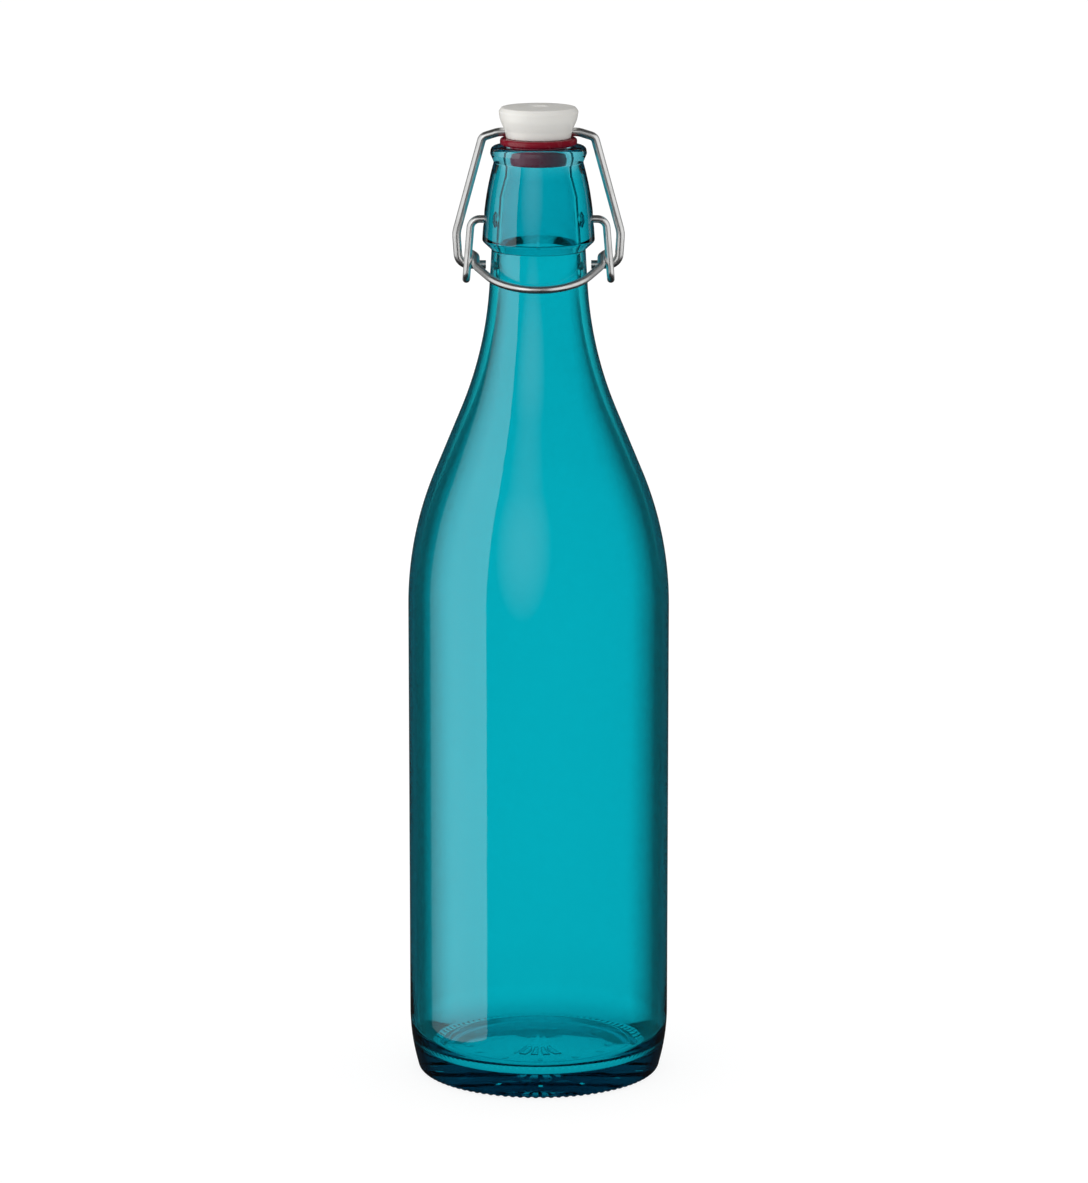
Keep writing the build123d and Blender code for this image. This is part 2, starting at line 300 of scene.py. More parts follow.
def makeGlass():
    look = glassLook
    material, tree, shader, output = newMaterial("tealGlass")
    coordinates = tree.nodes.new("ShaderNodeTexCoord")
    place = coordinates.outputs["Object"]
    height = addNode(tree, "ShaderNodeSeparateXYZ", {0: place}).outputs["Z"]
    upright = addNode(tree, "ShaderNodeSeparateXYZ", {0: coordinates.outputs["Normal"]}).outputs["Z"]
    streaks = addNode(tree, "ShaderNodeTexNoise", {"Vector": place, "Scale": 14.0, "Detail": 2.0})
    face = mixColours(tree, streaks.outputs["Fac"], look["face"], look["faceDeep"])
    # painted shade: the glass is darkened where its surface turns away from the view
    turn = addNode(tree, "ShaderNodeLayerWeight", {"Blend": 0.5})
    grazingShade = rangeNode(tree, turn.outputs["Facing"], look["edgeFrom"], look["edgeTo"], 0.0, 1.0)
    wall = rangeNode(tree, mathNode(tree, "ABSOLUTE", upright), look["wallTo"], look["levelFrom"], 1.0, 0.0)
    nearMouth = rangeNode(tree, height, look["mouthFrom"], look["mouthTo"], 0.0, 1.0)
    tint = mixColours(tree, nearMouth, face, look["mouth"])
    # the lip keeps only part of the painted edge shade and stays light, and level surfaces such as the base
    # get no painted dark rim of their own
    lipShare = rangeNode(tree, nearMouth, 0.0, 1.0, 1.0, look["mouthEdgeShade"])
    edgeShare = mathNode(tree, "MULTIPLY", wall, lipShare)
    flatPlace = addNode(tree, "ShaderNodeVectorMath", {0: place, 1: (1, 1, 0)}, operation="MULTIPLY")
    fromAxis = addNode(tree, "ShaderNodeVectorMath", {0: flatPlace.outputs[0]}, operation="LENGTH")
    outsideBore = rangeNode(tree, fromAxis.outputs["Value"], look["boreFrom"], look["boreTo"],
                            look["boreEdgeShade"], 1.0)
    edgeShare = mathNode(tree, "MULTIPLY", edgeShare, outsideBore)
    tint = mixColours(tree, mathNode(tree, "MULTIPLY", grazingShade, edgeShare), tint, look["edge"])
    tree.links.new(tint, shader.inputs["Base Color"])
    marks = useGroup(tree, handling, {"Vector": place, "Scale": 26.0, "Clean": 0.0, "Handled": 0.03})
    tree.links.new(marks.outputs["Roughness"], shader.inputs["Roughness"])
    waves = useGroup(tree, flowWaves, {"Vector": place, "Slow": 34.0, "Fast": 150.0, "Share": 0.1})
    bump = addNode(tree, "ShaderNodeBump", {
        "Height": waves.outputs["Height"], "Strength": look["ripple"], "Distance": 1.2 * mm})
    tree.links.new(bump.outputs["Normal"], shader.inputs["Normal"])
    shader.inputs["IOR"].default_value = look["ior"]
    shader.inputs["Transmission Weight"].default_value = 1.0
    absorb = addNode(tree, "ShaderNodeVolumeAbsorption", {
        "Color": look["absorbColour"], "Density": look["absorbDensity"]})
    tree.links.new(absorb.outputs["Volume"], output.inputs["Volume"])
    return material


wireLook = {
    "bright": (0.88, 0.88, 0.87, 1),
    "dull": (0.72, 0.72, 0.71, 1),
    "polished": 0.24,
    "handled": 0.38,
}


def makeWire():
    look = wireLook
    material, tree, shader, _ = newMaterial("brightWire")
    coordinates = tree.nodes.new("ShaderNodeTexCoord")
    place, along = coordinates.outputs["Object"], coordinates.outputs["UV"]
    # drawing lines run along the wire, so the pattern is stretched along it
    stretched = addNode(tree, "ShaderNodeMapping", {"Vector": along, "Scale": (3.0, 90.0, 1.0)})
    lines = addNode(tree, "ShaderNodeTexNoise", {"Vector": stretched.outputs[0], "Scale": 1.0, "Detail": 4.0})
    marks = useGroup(tree, handling, {
        "Vector": place, "Scale": 90.0, "Clean": look["polished"], "Handled": look["handled"]})
    wear = useGroup(tree, fineWear, {"Vector": place, "Scale": 520.0, "Width": 0.015})
    tone = mixColours(tree, marks.outputs["Mask"], look["bright"], look["dull"])
    tree.links.new(tone, shader.inputs["Base Color"])
    rough = mathNode(tree, "ADD", marks.outputs["Roughness"],
                     mathNode(tree, "MULTIPLY", lines.outputs["Fac"], 0.08))
    tree.links.new(rough, shader.inputs["Roughness"])
    height = mathNode(tree, "ADD", wear.outputs["Height"],
                      mathNode(tree, "MULTIPLY", lines.outputs["Fac"], 0.35))
    bump = addNode(tree, "ShaderNodeBump", {"Height": height, "Strength": 0.12, "Distance": 0.05 * mm})
    tree.links.new(bump.outputs["Normal"], shader.inputs["Normal"])
    shader.inputs["Metallic"].default_value = 1.0
    return material


stopperLook = {
    "white": (0.66, 0.65, 0.62, 1),
    "shade": (0.60, 0.59, 0.56, 1),
}


def makeStopperPlastic():
    look = stopperLook
    material, tree, shader, _ = newMaterial("whitePlastic")
    place = tree.nodes.new("ShaderNodeTexCoord").outputs["Object"]
    cloud = addNode(tree, "ShaderNodeTexNoise", {"Vector": place, "Scale": 70.0, "Detail": 4.0})
    marks = useGroup(tree, handling, {"Vector": place, "Scale": 120.0, "Clean": 0.28, "Handled": 0.42})
    wear = useGroup(tree, fineWear, {"Vector": place, "Scale": 340.0, "Width": 0.012})
    tone = mixColours(tree, cloud.outputs["Fac"], look["white"], look["shade"])
    tree.links.new(mixColours(tree, wear.outputs["Mask"], tone, look["shade"]), shader.inputs["Base Color"])
    tree.links.new(marks.outputs["Roughness"], shader.inputs["Roughness"])
    waves = useGroup(tree, flowWaves, {"Vector": place, "Slow": 160.0, "Fast": 1800.0, "Share": 0.12})
    height = mathNode(tree, "ADD", waves.outputs["Height"],
                      mathNode(tree, "MULTIPLY", wear.outputs["Height"], 0.4))
    bump = addNode(tree, "ShaderNodeBump", {"Height": height, "Strength": 0.15, "Distance": 0.15 * mm})
    tree.links.new(bump.outputs["Normal"], shader.inputs["Normal"])
    shader.inputs["IOR"].default_value = 1.49
    shader.inputs["Subsurface Weight"].default_value = 0.15
    shader.inputs["Subsurface Radius"].default_value = (1.0, 0.9, 0.7)
    shader.inputs["Subsurface Scale"].default_value = 0.8 * mm
    return material


rubberLook = {
    "red": (0.15, 0.002, 0.010, 1),
    "dusty": (0.18, 0.006, 0.016, 1),
    "plug": (0.45, 0.010, 0.036, 1),    # painted light: brighter than the flange, so that it shows red through the glass
    "plugFrom": 0.8, "plugTo": 0.2,     # how far under the flange the one becomes the other
}


def makeRubber():
    look = rubberLook
    material, tree, shader, _ = newMaterial("redRubber")
    place = tree.nodes.new("ShaderNodeTexCoord").outputs["Object"]
    marks = useGroup(tree, handling, {"Vector": place, "Scale": 160.0, "Clean": 0.22, "Handled": 0.45})
    height = addNode(tree, "ShaderNodeSeparateXYZ", {0: place}).outputs["Z"]
    # painted light: the plug below the flange gets a brighter red than the rest of the rubber
    plugLightMask = rangeNode(tree, height, (flangeBottom - look["plugFrom"]) * mm,
                       (flangeBottom - look["plugTo"]) * mm, 1.0, 0.0)
    aged = mixColours(tree, marks.outputs["Mask"], look["red"], look["dusty"])
    tree.links.new(mixColours(tree, plugLightMask, aged, look["plug"]), shader.inputs["Base Color"])
    tree.links.new(marks.outputs["Roughness"], shader.inputs["Roughness"])
    waves = useGroup(tree, flowWaves, {"Vector": place, "Slow": 240.0, "Fast": 2600.0, "Share": 0.3})
    bump = addNode(tree, "ShaderNodeBump", {
        "Height": waves.outputs["Height"], "Strength": 0.2, "Distance": 0.12 * mm})
    tree.links.new(bump.outputs["Normal"], shader.inputs["Normal"])
    shader.inputs["IOR"].default_value = 1.52
    shader.inputs["Specular IOR Level"].default_value = 0.3
    return material


tealGlass = makeGlass()
brightWire = makeWire()
whitePlastic = makeStopperPlastic()
print("made the glass, wire and plastic finishes")


bottle = {
    "segments": 384, "domeSteps": 14,
    "bodyRadius": 42.5, "bodyWall": 2.3,
    "heelHeight": 11.7, "heelAngle": 14.3, "heelRound": 66.0, "footRound": 1.8,
    "puntRadius": 35.0, "puntDepth": 4.8, "puntRun": 1.5, "puntRound": 1.5,
    "floorThickness": 4.8, "floorEdgeHeight": 6.0, "floorRun": 0.5, "floorRound": 9.0,
    "shoulderHeight": 179.0, "shoulderRound": 114.0,
    "bendRise": 61.3, "bendRound": 125.0, "bendWall": 3.0,
    "neckHeight": 92.0, "neckRadius": 15.15, "neckTaper": 3.6, "neckWall": 3.65,
    "collarRise": 2.0, "collarStep": 3.0, "collarShelf": 2.8, "collarSide": 14.8, "collarLean": 1.0,
    "collarRound": 0.9, "shelfRound": 1.2, "collarTop": 10.6, "crownRound": 95.0,
    "grooveInset": 0.75, "grooveRound": 0.8,
    "lipBead": 1.15, "lipRise": 2.8, "lipCrown": 2.3, "lipLean": 0.7, "beadRound": 0.9, "lipRound": 1.5,
    "mouthRadius": 10.0, "mouthDepth": 10.3, "mouthFlare": 6.0, "mouthRound": 1.0, "mouthRun": 0.5,
    "throatRound": 4.0,
    "knurls": 96, "knurlHeight": 0.32, "knurlInset": 1.5, "footBand": 0.5,
    "pivotRise": 11.7, "pivotDepth": 3.0, "holeRadius": 1.4, "countersink": 1.2,
    "holeSides": 48, "holeBevel": 0.5, "cutterReach": 3,
}

neckLean = math.tan(math.radians(bottle["neckTaper"]))
bendHeight = bottle["shoulderHeight"] + bottle["bendRise"]
collarBase = bottle["shoulderHeight"] + bottle["neckHeight"]
bendRadius = bottle["neckRadius"] + (collarBase - bendHeight) * neckLean
coneAngle = math.atan((bottle["bodyRadius"] - bendRadius) / bottle["bendRise"])
shelfEdge = collarBase + bottle["collarRise"] + bottle["collarShelf"]
shelfRadius = bottle["neckRadius"] + bottle["collarStep"]
crownHeight = shelfEdge + bottle["collarSide"]
grooveHeight = crownHeight + bottle["collarTop"]
grooveRadius = bottle["neckRadius"] - bottle["grooveInset"]
lipTop = grooveHeight + bottle["lipRise"] + bottle["lipCrown"]
pivotHeight = collarBase + bottle["pivotRise"]
pivotSide = shelfRadius - bottle["collarLean"] * (pivotHeight - shelfEdge) / bottle["collarSide"]


def insideCorner(radius, height, below, above, wall):
    middle, half = (below + above) / 2, (above - below) / 2
    reach = wall / math.cos(half)
    return flat(radius - reach * math.cos(middle), height - reach * math.sin(middle))


def capRun(edgeRadius, edgeHeight, topHeight, endRadius):
    # a shallow dome from the axis outwards, and the tangent that goes on from its end
    rise = topHeight - edgeHeight
    radius = (edgeRadius ** 2 + rise ** 2) / (2 * rise)
    angle = math.asin(endRadius / radius)
    end = flat(endRadius, topHeight - radius + radius * math.cos(angle))
    return radius, angle, end, flat(math.cos(angle), -math.sin(angle))


def drawOutside():
    b = bottle
    radius, angle, here, slope = capRun(b["puntRadius"], 0, b["puntDepth"], b["puntRadius"] - b["puntRun"])
    bendAround(flat(0, b["puntDepth"] - radius), Vector((0, 1, 0)), angle, b["domeSteps"])
    punt = flat(here.x + slope.x * here.z / -slope.z, 0)
    foot = flat(b["bodyRadius"] - b["heelHeight"] * math.tan(math.radians(b["heelAngle"])), 0)
    corners = [
        (punt, b["puntRound"]),
        (foot, b["footRound"]),
        (flat(b["bodyRadius"], b["heelHeight"]), b["heelRound"]),
        (flat(b["bodyRadius"], b["shoulderHeight"]), b["shoulderRound"]),
        (flat(bendRadius, bendHeight), b["bendRound"]),
        (flat(b["neckRadius"], collarBase + b["collarRise"]), b["collarRound"]),
        (flat(shelfRadius, shelfEdge), b["shelfRound"]),
        (flat(shelfRadius - b["collarLean"], crownHeight), b["crownRound"]),
        (flat(grooveRadius, grooveHeight), b["grooveRound"]),
        (flat(grooveRadius + b["lipBead"], grooveHeight + b["lipRise"]), b["beadRound"]),
        (flat(grooveRadius + b["lipBead"] * b["lipLean"], lipTop), b["lipRound"]),
        (flat(b["mouthRadius"], lipTop), b["mouthRound"]),
        (flat(b["mouthRadius"], lipTop - b["mouthRound"] - b["mouthRun"]), 0),
    ]
    return drawRoute(here, corners)


def drawInside(here):
    b = bottle
    wallRadius = b["bodyRadius"] - b["bodyWall"]
    floorHeight = b["puntDepth"] + b["floorThickness"]
    radius, angle, end, slope = capRun(wallRadius, b["floorEdgeHeight"], floorHeight,
                                       wallRadius - b["floorRound"] - b["floorRun"])
    floorCorner = flat(wallRadius, end.z + slope.z / slope.x * (wallRadius - end.x))
    corners = [
        (flat(b["mouthRadius"], lipTop - b["mouthDepth"]), b["throatRound"]),
        (flat(b["neckRadius"] - b["neckWall"], lipTop - b["mouthDepth"] - b["mouthFlare"]), b["throatRound"]),
        (insideCorner(bendRadius, bendHeight, coneAngle, math.radians(b["neckTaper"]), b["bendWall"]),
         b["bendRound"]),
        (insideCorner(b["bodyRadius"], b["shoulderHeight"], 0, coneAngle, b["bodyWall"]),
         b["shoulderRound"] - b["bodyWall"]),
        (floorCorner, b["floorRound"]),
        (end, 0),
    ]
    drawRoute(here, corners)
    bendAround(flat(0, floorHeight - radius), Vector((0, -1, 0)), angle, b["domeSteps"])


def knurlFoot(piece):
    # shallow notches all round the ring that the bottle stands on
    b = bottle
    step = 2 * math.pi / b["segments"]
    spacing = b["segments"] // b["knurls"]

    def inNotch(place):
        onFoot = place.z < b["footBand"] and math.hypot(place.x, place.y) > b["puntRadius"] + b["knurlInset"]
        return onFoot and round(math.atan2(place.y, place.x) / step) % spacing < spacing / 2

    pickPoints(piece, inNotch)
    bpy.ops.transform.translate(value=(0, 0, b["knurlHeight"] * mm))


marks = {
    # rings from one radius to another, with spacing and width in degrees round them
    "pipFrom": 22.0, "pipTo": 24.8, "pipSpacing": 30, "pipWidth": 3.0, "pipRise": 0.5,
    "barFrom": 7.5, "barTo": 14.5, "barStart": 56, "barEnd": 124, "barSpacing": 16, "barWidth": 9,
    "barRise": 1.1,
    "nibWidth": 1.9, "nibBelow": 0.2, "nibHeight": 1.3, "nibFront": 16, "nibRise": 0.35,
    "inset": 0.15, "insetRise": 0.12, "baseHeight": 6,
}


def raiseMarks(piece):
    # plain pips and bars pressed into the hollow of the base, and a small nib on the collar's shelf
    m = marks

    def inBase(place, normal):
        return normal.z < -0.5 and place.z < m["baseHeight"]

    def onPip(place, normal):
        ring = math.hypot(place.x, place.y)
        turn = math.degrees(math.atan2(place.y, place.x)) % m["pipSpacing"]
        return inBase(place, normal) and m["pipFrom"] < ring < m["pipTo"] and turn < m["pipWidth"]

    def onBar(place, normal):
        ring = math.hypot(place.x, place.y)
        turn = math.degrees(math.atan2(place.y, place.x)) % 180
        inRow = m["barFrom"] < ring < m["barTo"] and m["barStart"] < turn < m["barEnd"]
        return inBase(place, normal) and inRow and turn % m["barSpacing"] < m["barWidth"]

    def onNib(place, normal):
        front = math.degrees(math.atan2(place.x, -place.y))
        onSide = shelfEdge - m["nibBelow"] < place.z < shelfEdge + m["nibHeight"] and place.y < -m["nibFront"]
        return abs(front) < m["nibWidth"] and onSide and normal.y < -0.3

    for test, rise in ((onPip, m["pipRise"]), (onBar, m["barRise"]), (onNib, m["nibRise"])):
        pickFaces(piece, test)
        bpy.ops.mesh.extrude_region_shrink_fatten(TRANSFORM_OT_shrink_fatten={"value": rise * mm})
        bpy.ops.mesh.inset(thickness=m["inset"] * mm, depth=m["insetRise"] * mm)


def makePivotCutter(side):
    b = bottle
    mouth = b["holeRadius"] + b["countersink"]
    here = pivotSide + b["cutterReach"]
    bpy.ops.object.select_all(action="DESELECT")
    bpy.ops.mesh.primitive_circle_add(vertices=b["holeSides"], radius=mouth * mm, fill_type="NGON",
                                      location=(here * side * mm, 0, pivotHeight * mm),
                                      rotation=(0, math.radians(90), 0))
    cutter = bpy.context.object
    bpy.ops.object.transform_apply(location=True, rotation=True, scale=True)
    bpy.ops.object.mode_set(mode="EDIT")
    bpy.ops.mesh.select_all(action="SELECT")
    rings = ((0, mouth), (b["countersink"], b["holeRadius"]),
             (b["pivotDepth"] - b["holeBevel"], b["holeRadius"]),
             (b["pivotDepth"], b["holeRadius"] - b["holeBevel"]))
    for depth, radius in rings:
        bpy.ops.mesh.extrude_region_move(TRANSFORM_OT_translate={
            "value": ((pivotSide - depth - here) * side * mm, 0, 0)})
        here = pivotSide - depth
        middle = (here * side * mm, 0, pivotHeight * mm)
        growth = radius / mouth
        bpy.ops.transform.resize(value=(1, growth, growth), center_override=middle)
        mouth = radius
    bpy.ops.mesh.select_all(action="SELECT")
    bpy.ops.mesh.normals_make_consistent(inside=False)
    bpy.ops.object.mode_set(mode="OBJECT")
    return cutter


def makeBottle():
    piece = startRoute("glassBottle", flat(0, bottle["puntDepth"]))
    drawInside(drawOutside())
    spinProfile(bottle["segments"])
    knurlFoot(piece)
    raiseMarks(piece)
    bpy.ops.object.mode_set(mode="OBJECT")
    for side in (1, -1):
        cutWith(piece, makePivotCutter(side))
    finishPiece(piece, "bottle", "glass_bottle", tealGlass)


makeBottle()


lever = {
    "wire": 2.5,        # diameter
    "pivotEndGap": 0.3, "pivotBend": 3.0,
    "armGap": 4.0, "armLean": 1.65, "backLegLean": 0.6,
    "hookDrop": 4.7, "hookSlack": 0.05,
    "crossingGap": 0.65, "crossingFall": 0.85, "crossingRun": 1.7,
    "legTopBend": 2.2, "crossingBend": 2.4, "loopSideBend": 4.0,
    "loopGap": 1.45, "loopTilt": 18.0, "loopDrop": 20.3, "loopHalfTurn": 62.0,
}

bail = {
    "wire": 2.8,        # diameter
    "eyeClearance": 0.3, "reach": 15.2, "stubGap": 1.6, "side": 2.45,
    "barRise": 4.5, "barPastHead": 2.5, "barToCorner": 5.1, "barDroop": 1.6,
    "kneeGap": 2.15, "kneeRise": 10.5,
    "eyeBend": 3.6, "kneeBend": 8.0, "cornerBend": 2.2, "droopBend": 6.0,
}

wireMaking = {"sides": 28, "longestRun": 4, "endRound": 0.3, "endSteps": 3}

leverRadius, bailRadius = lever["wire"] / 2, bail["wire"] / 2
eyeWidth = lever["wire"] + bail["wire"] + 2 * bail["eyeClearance"]
overCentre = eyeWidth / 2
bailHeight = pivotHeight - bail["reach"]
armTop = pivotSide + lever["armGap"]
armBottom = armTop + lever["armLean"]
crossingSide = armBottom - lever["wire"] - lever["crossingGap"]
barHeight = lipTop + bail["barRise"]


def neckAt(height):
    return bottle["neckRadius"] + (collarBase - height) * neckLean


def otherSide(corners):
    return [(Vector((-place.x, place.y, place.z)), radius) for place, radius in reversed(corners)]


def makeWirePiece(name, corners, diameter, body, node):
    # the route becomes a curve with a round section, and its cut ends are rounded
    start, rest = corners[0][0], corners[1:]
    startRoute(name, start)
    drawRoute(start, rest, wireMaking["longestRun"])
    bpy.ops.object.mode_set(mode="OBJECT")
    bpy.ops.object.convert(target="CURVE")
    curve = bpy.context.object.data
    curve.bevel_depth = diameter / 2 * mm
    curve.bevel_resolution = wireMaking["sides"] // 2 - 2
    curve.use_fill_caps = True
    bpy.ops.object.convert(target="MESH")
    piece = bpy.context.object
    bpy.ops.object.mode_set(mode="EDIT")
    bpy.ops.mesh.select_all(action="SELECT")
    bpy.ops.mesh.remove_doubles(threshold=mergeDistance)
    bpy.ops.mesh.normals_make_consistent(inside=False)
    bpy.ops.mesh.select_all(action="DESELECT")
    bpy.ops.mesh.select_mode(type="FACE")
    mesh = bmesh.from_edit_mesh(piece.data)
    for face in mesh.faces:
        face.select_set(len(face.verts) > 4)    # the two end caps
    bmesh.update_edit_mesh(piece.data)
    bpy.ops.mesh.region_to_loop()
    bpy.ops.mesh.bevel(offset=wireMaking["endRound"] * mm, segments=wireMaking["endSteps"], affect="EDGES")
    bpy.ops.object.mode_set(mode="OBJECT")
    finishPiece(piece, body, node, brightWire, smoothAngle=60)


def leverCorners():
    w = lever
    tilt, turn = math.radians(w["loopTilt"]), math.radians(w["loopHalfTurn"])
    frontHeight = pivotHeight - w["loopDrop"]
    loopRadius = neckAt(frontHeight) + w["loopGap"] + leverRadius
    hookBottom = bailHeight - w["hookDrop"]
    crossingHeight = bailHeight + leverRadius + bailRadius + bail["eyeClearance"]
    hookBend = eyeWidth / 2 - w["hookSlack"]
    beforeFront = loopRadius / math.cos(turn) - loopRadius

    def onLoop(side, behind):
        return Vector((side, behind * math.cos(tilt) - loopRadius, frontHeight + behind * math.sin(tilt)))

    half = [
        (Vector((pivotSide - bottle["pivotDepth"] + w["pivotEndGap"], 0, pivotHeight)), 0),
        (Vector((armTop, 0, pivotHeight)), w["pivotBend"]),
        (Vector((armBottom, 0, hookBottom)), hookBend),
        (Vector((armBottom, eyeWidth, hookBottom)), hookBend),
        (Vector((armBottom - w["backLegLean"], eyeWidth, crossingHeight + w["crossingFall"])),
         w["legTopBend"]),
        (Vector((crossingSide, overCentre - w["crossingRun"], crossingHeight)), w["crossingBend"]),
        (onLoop(crossingSide, crossingSide * math.tan(turn) - beforeFront), w["loopSideBend"]),
    ]
    return half + [(onLoop(0, -beforeFront), loopRadius)] + otherSide(half)


def bailCorners():
    w = bail
    lean = overCentre / (barHeight - bailHeight)
    barHalf = footRadius + w["barPastHead"]
    half = [
        (neckAt(bailHeight) + w["stubGap"], bailHeight, 0),
        (armBottom + w["side"], bailHeight, w["eyeBend"]),
        (armTop + leverRadius + w["kneeGap"] + bailRadius, bailHeight + w["kneeRise"], w["kneeBend"]),
        (barHalf + w["barToCorner"], barHeight - w["barDroop"], w["cornerBend"]),
        (barHalf, barHeight, w["droopBend"]),
    ]
    half = [(Vector((x, (barHeight - z) * lean, z)), radius) for x, z, radius in half]
    return half + otherSide(half)


stopper = {
    "segments": 160,
    "stemRadius": 4.6, "stemBead": 0.9, "stemLength": 5.6, "stemBeadHeight": 1.8, "stemBeadSlope": 0.6,
    "stemRound": 0.3, "stemRootRound": 0.2,
    "inset": 2.0, "flare": 2.43, "height": 8.6, "crown": 1.5, "dome": 0.25, "rim": 0.9,
    "footHeight": 2.6, "footFlare": 0.5, "cheek": 2.8, "cheekInset": 0.45,
    "footEdge": 0.4, "footRound": 2.5, "cheekRound": 5.0, "wideRound": 0.8, "rimRound": 0.5,
    "gateRadius": 3.2, "gateSlope": 0.6, "gateDepth": 0.3, "gateEdge": 0.02,
    "gateRimRound": 0.6, "gateFootRound": 0.4,
    "boreClearance": 0.1, "boreSides": 64, "boreLength": 60,
    "longestRun": 3,
}

gasket = {
    "segments": 160,
    "lipGap": 0.35, "flangeOverhang": 3.1, "flangeThickness": 2.3, "flangeRound": 0.9,
    "plugClearance": 0.7, "plugDepth": 7.0, "plugTaper": 0.5, "plugRound": 4.2, "plugRootRound": 0.5,
    "socketRound": 0.2, "longestRun": 2,
}

flangeBottom = lipTop + gasket["lipGap"]
flangeTop = flangeBottom + gasket["flangeThickness"]
plugRadius = bottle["mouthRadius"] - gasket["plugClearance"]
flangeRadius = plugRadius + gasket["flangeOverhang"]
footRadius = flangeRadius - stopper["inset"]
headRadius = footRadius + stopper["flare"]
stemBottom = flangeTop - stopper["stemLength"]


def stemCorners():
    s = stopper
    beadRadius = s["stemRadius"] + s["stemBead"]
    beadTop = stemBottom + s["stemBeadHeight"]
    return [
        (flat(beadRadius, stemBottom), s["stemRound"]),
        (flat(beadRadius, beadTop), s["stemRound"]),
        (flat(s["stemRadius"], beadTop + s["stemBeadSlope"]), s["stemRound"]),
    ]


def makeStopper():
    s = stopper
    wide = flangeTop + s["height"]
    top = wide + s["crown"]
    piece = startRoute("stopperHead", flat(0, stemBottom))
    corners = stemCorners() + [
        (flat(s["stemRadius"], flangeTop), s["stemRootRound"]),
        (flat(footRadius, flangeTop), s["footEdge"]),
        (flat(footRadius + s["footFlare"], flangeTop + s["footHeight"]), s["footRound"]),
        (flat(headRadius - s["cheekInset"], wide - s["cheek"]), s["cheekRound"]),
        (flat(headRadius, wide), s["wideRound"]),
        (flat(headRadius - s["rim"], top - s["dome"]), s["rimRound"]),
        (flat(s["gateRadius"], top - s["gateEdge"]), s["gateRimRound"]),
        (flat(s["gateRadius"] - s["gateSlope"], top - s["gateDepth"]), s["gateFootRound"]),
        (flat(0, top - s["gateDepth"]), 0),
    ]
    drawRoute(flat(0, stemBottom), corners, s["longestRun"])
    spinProfile(s["segments"])
    bpy.ops.object.mode_set(mode="OBJECT")
    bpy.ops.object.select_all(action="DESELECT")
    bpy.ops.mesh.primitive_cylinder_add(
        vertices=s["boreSides"], radius=(bailRadius + s["boreClearance"]) * mm, depth=s["boreLength"] * mm,
        location=(0, 0, barHeight * mm), rotation=(0, math.radians(90), 0))
    cutWith(piece, bpy.context.object)
    finishPiece(piece, "stopper", "stopper_head", whitePlastic)


def makeGasket():
    g = gasket
    bottom = flangeBottom - g["plugDepth"]
    piece = startRoute("gasketRing", flat(0, bottom))
    socket = [(place, radius) for place, radius in reversed(stemCorners())]
    corners = [
        (flat(plugRadius - g["plugTaper"], bottom), g["plugRound"]),
        (flat(plugRadius, flangeBottom), g["plugRootRound"]),
        (flat(flangeRadius, flangeBottom), g["flangeRound"]),
        (flat(flangeRadius, flangeTop), g["flangeRound"]),
        (flat(stopper["stemRadius"], flangeTop), g["socketRound"]),
    ] + socket + [(flat(0, stemBottom), 0)]
    drawRoute(flat(0, bottom), corners, g["longestRun"])
    spinProfile(g["segments"])
    bpy.ops.object.mode_set(mode="OBJECT")
    finishPiece(piece, "stopper", "gasket", redRubber)


redRubber = makeRubber()
makeStopper()
makeGasket()
makeWirePiece("leverWire", leverCorners(), lever["wire"], "lever", "lever_wire")
makeWirePiece("bailWire", bailCorners(), bail["wire"], "bail", "bail_wire")
print("all five pieces made")


studio = {
    "floorSize": 24.0,
    "floorColour": (0.2, 0.2, 0.2, 1),
    "floorGlow": 0.84,          # a light table under the bottle keeps its base bright
    "surround": 1.0,            # the white room as the camera and the floor see it
    "glossyDark": 0.012,        # the same room as reflections see it
    "glossyBack": 0.02,         # and a little lighter behind, between these depths
    "frontTo": -0.15, "backFrom": 0.9,
    "spotDirection": (-0.24, -0.93, 0.28),      # a soft light high in front on the left
    "spotFrom": 0.9, "spotLevel": 0.85,
}

# lights in metres and watts, with the azimuth given where each one is placed
softbox = {
    "distance": 1.2, "width": 1.5, "height": 2.03, "centreHeight": 0.615, "power": 16.8,
    "fadeFrom": 0.0, "fadeTo": 0.5, "fadeLevel": 0.3,
}
wireLight = {"distance": 1.3, "width": 2.4, "height": 1.8, "centreHeight": 0.6, "power": 11}
wireRim = {"distance": 1.3, "width": 1.6, "height": 1.8, "centreHeight": 0.6, "power": 2.2}

camera = {
    "place": (1.75, -1745.5, 527.2), "downward": 11.87,     # millimetres and degrees
    "lens": 166.46, "sensorWidth": 36, "clipEnd": 50,
}


def makeFloor():
    bpy.ops.object.select_all(action="DESELECT")
    bpy.ops.mesh.primitive_plane_add(size=studio["floorSize"], location=(0, 0, 0))
    floor = bpy.context.object
    floor.name = "paleFloor"
    material, _, shader, _ = newMaterial("paleFloorPaint")
    shader.inputs["Base Color"].default_value = studio["floorColour"]
    shader.inputs["Roughness"].default_value = 0.9
    shader.inputs["Specular IOR Level"].default_value = 0.0
    shader.inputs["Emission Color"].default_value = (1, 1, 1, 1)
    shader.inputs["Emission Strength"].default_value = studio["floorGlow"]
    floor.data.materials.append(material)
    floor.visible_glossy = False


